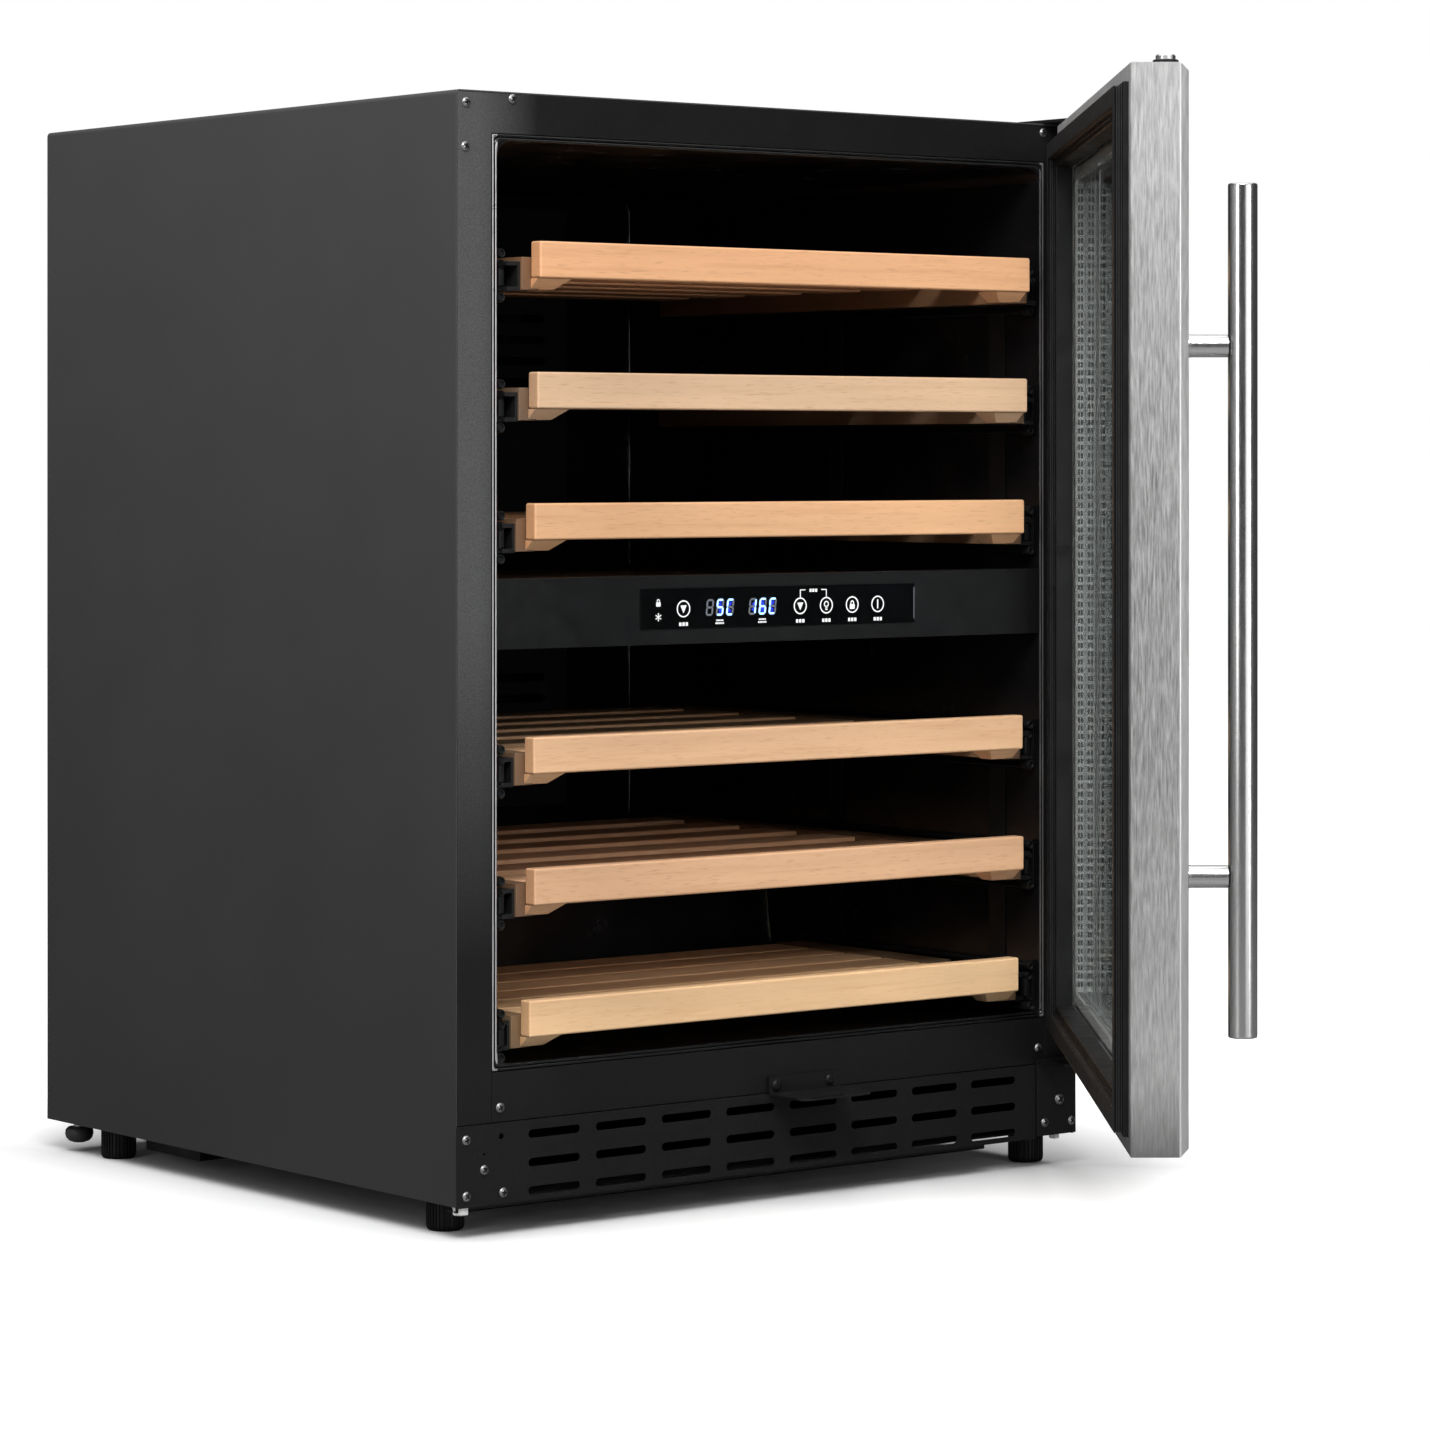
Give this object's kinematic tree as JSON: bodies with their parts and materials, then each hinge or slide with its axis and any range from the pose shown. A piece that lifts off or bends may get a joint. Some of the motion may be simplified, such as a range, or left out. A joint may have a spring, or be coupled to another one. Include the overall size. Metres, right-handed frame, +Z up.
{
  "type": "wine cooler",
  "caption": "Under-counter dual-zone wine cooler: black steel cabinet, sliding beech shelves, touch control strip and a steel-framed triple-glazed door with a bar handle, standing part open.",
  "frame": {"origin": "on the floor, under the middle of the whole object with its door as stored", "axes": "+Z up, +Y from the open front towards the back, +X to the right seen from the front (hinge side)"},
  "size_m": [0.5979, 1.0837, 0.823],
  "materials": {
    "casing_coat": "smooth matt charcoal powder coat",
    "frame_coat": "fine-textured black powder coat",
    "liner_plastic": "glossy black moulded liner",
    "foam": "rigid closed-cell foam",
    "black_plastic": "black moulded plastic",
    "lens": "glossy touch panel",
    "gasket": "soft black seal",
    "stainless": "vertical brushed grain",
    "handle_steel": "satin round bar",
    "zinc": "bright zinc plate",
    "slide_steel": "black plated slide steel",
    "alloy": "mill finish",
    "clear_glass": "clear low-iron pane",
    "beech_1": "oiled beech",
    "beech_2": "oiled beech",
    "beech_3": "oiled beech",
    "beech_4": "oiled beech",
    "beech_5": "oiled beech",
    "beech_6": "oiled beech"
  },
  "bodies": {
    "cabinet": {"outer_casing": "casing_coat", "front_frame": "frame_coat", "lower_crossbar": "frame_coat", "inner_liner": "liner_plastic", "insulation_foam": "foam", "back_panel": "casing_coat", "base_pan": "frame_coat", "rear_cover": "frame_coat", "kick_grille": "frame_coat", "lock_catch": "frame_coat", "bottom_hinge_bracket": "frame_coat", "top_hinge_bracket": "frame_coat", "front_left_foot": "black_plastic", "front_right_foot": "black_plastic", "rear_left_foot": "black_plastic", "rear_right_foot": "black_plastic", "zone_divider": "liner_plastic", "control_fascia": "black_plastic", "control_lens": "lens", "upper_fan_cover": "black_plastic", "lower_fan_cover": "black_plastic", "condenser": "alloy", "compressor": "frame_coat", "drain_tray": "black_plastic", "upper_left_carrier": "frame_coat", "upper_right_carrier": "frame_coat", "lower_left_carrier": "frame_coat", "lower_right_carrier": "frame_coat"},
    "door": {"door_frame": "stainless", "door_inner_frame": "black_plastic", "door_gasket": "gasket", "door_outer_glass": "clear_glass", "door_middle_glass": "clear_glass", "door_inner_glass": "clear_glass", "glass_spacer": "alloy", "handle_bar": "handle_steel", "lower_handle_post": "handle_steel", "upper_handle_post": "handle_steel"},
    "door_lock": {"door_lock": "zinc"},
    "upper_fan": {"upper_fan": "black_plastic"},
    "lower_fan": {"lower_fan": "black_plastic"},
    "condenser_fan": {"condenser_fan": "black_plastic"},
    "shelf_1": {"shelf_1_deck": "beech_1", "shelf_1_left_slide": "slide_steel", "shelf_1_right_slide": "slide_steel"},
    "shelf_2": {"shelf_2_deck": "beech_2", "shelf_2_left_slide": "slide_steel", "shelf_2_right_slide": "slide_steel"},
    "shelf_3": {"shelf_3_deck": "beech_3", "shelf_3_left_slide": "slide_steel", "shelf_3_right_slide": "slide_steel"},
    "shelf_4": {"shelf_4_deck": "beech_4", "shelf_4_left_slide": "slide_steel", "shelf_4_right_slide": "slide_steel"},
    "shelf_5": {"shelf_5_deck": "beech_5", "shelf_5_left_slide": "slide_steel", "shelf_5_right_slide": "slide_steel"},
    "shelf_6": {"shelf_6_deck": "beech_6", "shelf_6_left_slide": "slide_steel", "shelf_6_right_slide": "slide_steel"}
  },
  "joints": [
    {"name": "door_hinge", "type": "hinge", "parent": "cabinet", "child": "door", "pos_m": [0.2835, -0.0666, 0.458], "axis": [0, 0, 1], "range_deg": [-52.1, 53]},
    {"name": "door_lock_turn", "type": "hinge", "parent": "door", "child": "door_lock", "pos_m": [0.13137, -0.2783, 0.118], "axis": [0.7891, -0.6143, 0], "range_deg": [0, 90]},
    {"name": "shelf_1_slide", "type": "slide", "parent": "cabinet", "child": "shelf_1", "axis": [0, -1, 0], "range_m": [-0.013, 0.0095]},
    {"name": "shelf_2_slide", "type": "slide", "parent": "cabinet", "child": "shelf_2", "axis": [0, -1, 0], "range_m": [-0.01, 0.0125]},
    {"name": "shelf_3_slide", "type": "slide", "parent": "cabinet", "child": "shelf_3", "axis": [0, -1, 0], "range_m": [-0.0065, 0.016]},
    {"name": "shelf_4_slide", "type": "slide", "parent": "cabinet", "child": "shelf_4", "axis": [0, -1, 0], "range_m": [-0.005, 0.0175]},
    {"name": "shelf_5_slide", "type": "slide", "parent": "cabinet", "child": "shelf_5", "axis": [0, -1, 0], "range_m": [-0.006, 0.0165]},
    {"name": "shelf_6_slide", "type": "slide", "parent": "cabinet", "child": "shelf_6", "axis": [0, -1, 0], "range_m": [0, 0.0225]},
    {"name": "upper_fan_spin", "type": "hinge", "parent": "cabinet", "child": "upper_fan", "pos_m": [0, 0.4815, 0.64], "axis": [0, 1, 0], "continuous": true},
    {"name": "lower_fan_spin", "type": "hinge", "parent": "cabinet", "child": "lower_fan", "pos_m": [0, 0.4815, 0.335], "axis": [0, 1, 0], "continuous": true},
    {"name": "condenser_fan_spin", "type": "hinge", "parent": "cabinet", "child": "condenser_fan", "pos_m": [-0.185, 0.40575, 0.107], "axis": [0, 1, 0], "continuous": true}
  ]
}
